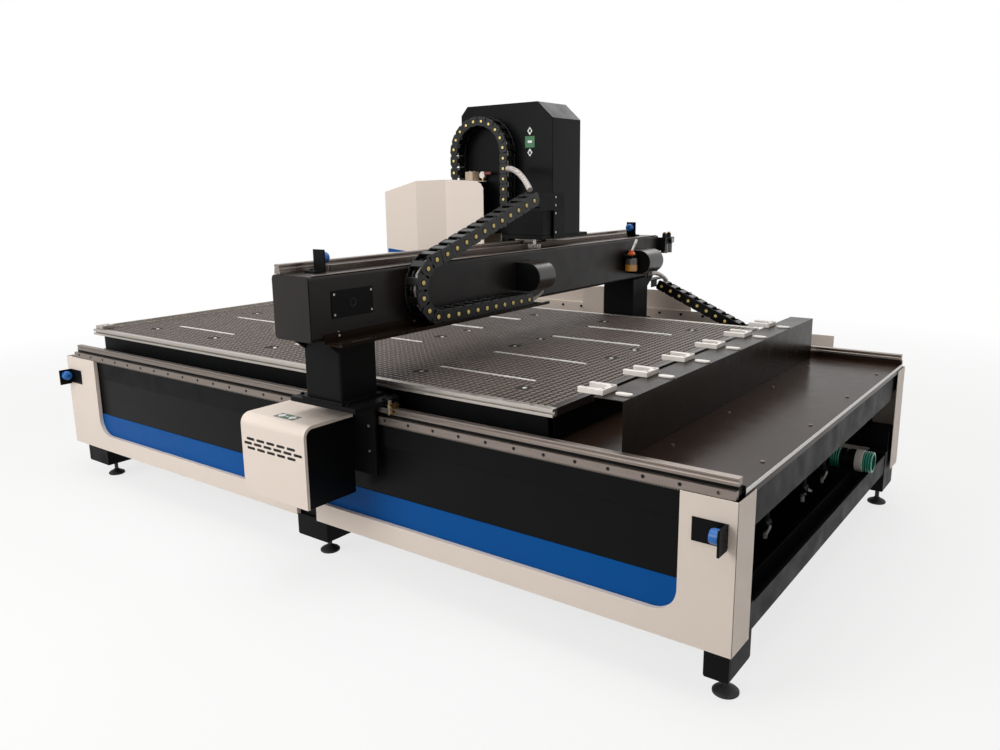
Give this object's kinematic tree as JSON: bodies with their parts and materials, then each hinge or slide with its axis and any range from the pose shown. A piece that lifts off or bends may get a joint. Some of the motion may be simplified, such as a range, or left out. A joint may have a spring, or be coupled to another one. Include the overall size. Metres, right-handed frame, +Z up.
{
  "type": "cnc machining center",
  "caption": "Gantry machining centre with a moving bridge, slotted vacuum table, hooded milling head on a tall tower, and a rear rack of tool forks.",
  "frame": {"origin": "on the floor at the middle of the bounding box", "axes": "+Y along the table to the rear tool rack, +X across it to the left seen from the rear, +Z up"},
  "size_m": [3.028, 3.952, 2.028],
  "materials": {
    "black_powder_coat": "satin powder coat",
    "cream_paint": "semi gloss powder coat",
    "blue_paint": "semi gloss powder coat",
    "bright_steel": "ground",
    "anodised_aluminium": "satin anodised",
    "motor_black": "satin",
    "vacuum_board_pvc": "matte, grooved",
    "chain_nylon": "satin moulded",
    "white_nylon": "satin moulded",
    "clear_resin": "clear, oil inside",
    "green_hose": "satin spiral hose",
    "braided_hose": "braided",
    "rubber_foot": "matte"
  },
  "bodies": {
    "bed": {"levelling_feet": "rubber_foot", "legs": "black_powder_coat", "side_beams": "black_powder_coat", "cross_beams": "black_powder_coat", "side_panels": "black_powder_coat", "side_covers": "cream_paint", "blue_panels": "blue_paint", "table_bearers": "black_powder_coat", "vacuum_board": "vacuum_board_pvc", "table_trims": "anodised_aluminium", "t_slot_rails": "anodised_aluminium", "rear_tray": "black_powder_coat", "rear_apron": "black_powder_coat", "tool_forks": "white_nylon", "y_rails": "bright_steel", "y_racks": "bright_steel", "bed_bumpers": "black_powder_coat", "vacuum_manifold": "black_powder_coat", "vacuum_hose": "green_hose", "chain_trough": "cream_paint", "y_chain_lower": "chain_nylon"},
    "gantry": {"gantry_legs": "black_powder_coat", "y_slider_blocks": "bright_steel", "drive_covers": "cream_paint", "drive_end_caps": "black_powder_coat", "y_motors": "motor_black", "beam": "black_powder_coat", "access_plate": "black_powder_coat", "x_rails": "bright_steel", "x_rack": "bright_steel", "rear_shelf": "black_powder_coat", "cable_drums": "black_powder_coat", "lubricator_pump": "clear_resin", "air_unit": "black_powder_coat", "x_bumpers": "black_powder_coat", "x_chain_lower": "chain_nylon", "y_chain_upper": "chain_nylon", "beam_hoses": "braided_hose"},
    "carriage": {"x_carriage": "black_powder_coat", "x_slider_blocks": "bright_steel", "x_motor_box": "black_powder_coat", "axis_motors": "motor_black", "z_cover": "black_powder_coat", "z_rails": "bright_steel", "x_chain_upper": "chain_nylon", "z_chain_fixed": "chain_nylon", "carriage_hose": "braided_hose"},
    "head": {"z_slide": "black_powder_coat", "hood": "cream_paint", "spindle_body": "anodised_aluminium", "z_chain_moving": "chain_nylon", "head_air_fittings": "anodised_aluminium"},
    "spindle": {"spindle_rotor": "bright_steel"},
    "y_pinions": {"y_pinions": "bright_steel"},
    "x_pinion": {"x_pinion": "bright_steel"},
    "z_screw": {"z_screw": "bright_steel"},
    "lubricator_lever": {"lubricator_lever": "white_nylon"},
    "y_chain_bend": {"y_chain_bend": "chain_nylon"},
    "x_chain_bend": {"x_chain_bend": "chain_nylon"},
    "z_chain_bend": {"z_chain_bend": "chain_nylon"}
  },
  "joints": [
    {"name": "y_slide", "type": "slide", "parent": "bed", "child": "gantry", "axis": [0, 1, 0], "range_m": [-1.89, 1.4], "deforming": ["y_chain_upper", "y_chain_lower"]},
    {"name": "x_slide", "type": "slide", "parent": "gantry", "child": "carriage", "axis": [1, 0, 0], "range_m": [-0.66, 1.315], "deforming": ["x_chain_upper", "x_chain_lower"]},
    {"name": "z_slide", "type": "slide", "parent": "carriage", "child": "head", "axis": [0, 0, 1], "range_m": [-0.18, 0], "deforming": ["z_chain_fixed", "z_chain_moving"]},
    {"name": "spindle_turn", "type": "hinge", "parent": "head", "child": "spindle", "pos_m": [-0.221, 0.03, 1.2], "axis": [0, 0, 1], "continuous": true},
    {"name": "y_pinion_turn", "type": "hinge", "parent": "gantry", "child": "y_pinions", "pos_m": [0, 0.262, 0.671], "axis": [1, 0, 0], "range_deg": [-3700, 3700]},
    {"name": "x_pinion_turn", "type": "hinge", "parent": "carriage", "child": "x_pinion", "pos_m": [-0.046, 0.379, 1.31], "axis": [0, 0, 1], "range_deg": [-2700, 2700]},
    {"name": "z_screw_turn", "type": "hinge", "parent": "carriage", "child": "z_screw", "pos_m": [-0.221, 0.167, 1.2], "axis": [0, 0, 1], "range_deg": [-7000, 7000]},
    {"name": "y_chain_roll", "type": "slide", "parent": "bed", "child": "y_chain_bend", "axis": [0, 1, 0], "range_m": [-0.95, 0.71]},
    {"name": "x_chain_roll", "type": "slide", "parent": "gantry", "child": "x_chain_bend", "axis": [1, 0, 0], "range_m": [-0.34, 0.67]},
    {"name": "z_chain_roll", "type": "slide", "parent": "carriage", "child": "z_chain_bend", "axis": [0, 0, 1], "range_m": [-0.1, 0.01]},
    {"name": "lubricator_pull", "type": "hinge", "parent": "gantry", "child": "lubricator_lever", "pos_m": [-0.862, 0.505, 1.234], "axis": [0, 1, 0], "range_deg": [-25, 60]}
  ],
  "couplings": [
    {"joint": "y_pinion_turn", "follows": "y_slide", "rad_per_m": 33.333},
    {"joint": "x_pinion_turn", "follows": "x_slide", "rad_per_m": -33.333},
    {"joint": "z_screw_turn", "follows": "z_slide", "rad_per_m": -628.32},
    {"joint": "y_chain_roll", "follows": "y_slide", "ratio": 0.5},
    {"joint": "x_chain_roll", "follows": "x_slide", "ratio": 0.5},
    {"joint": "z_chain_roll", "follows": "z_slide", "ratio": 0.5}
  ]
}
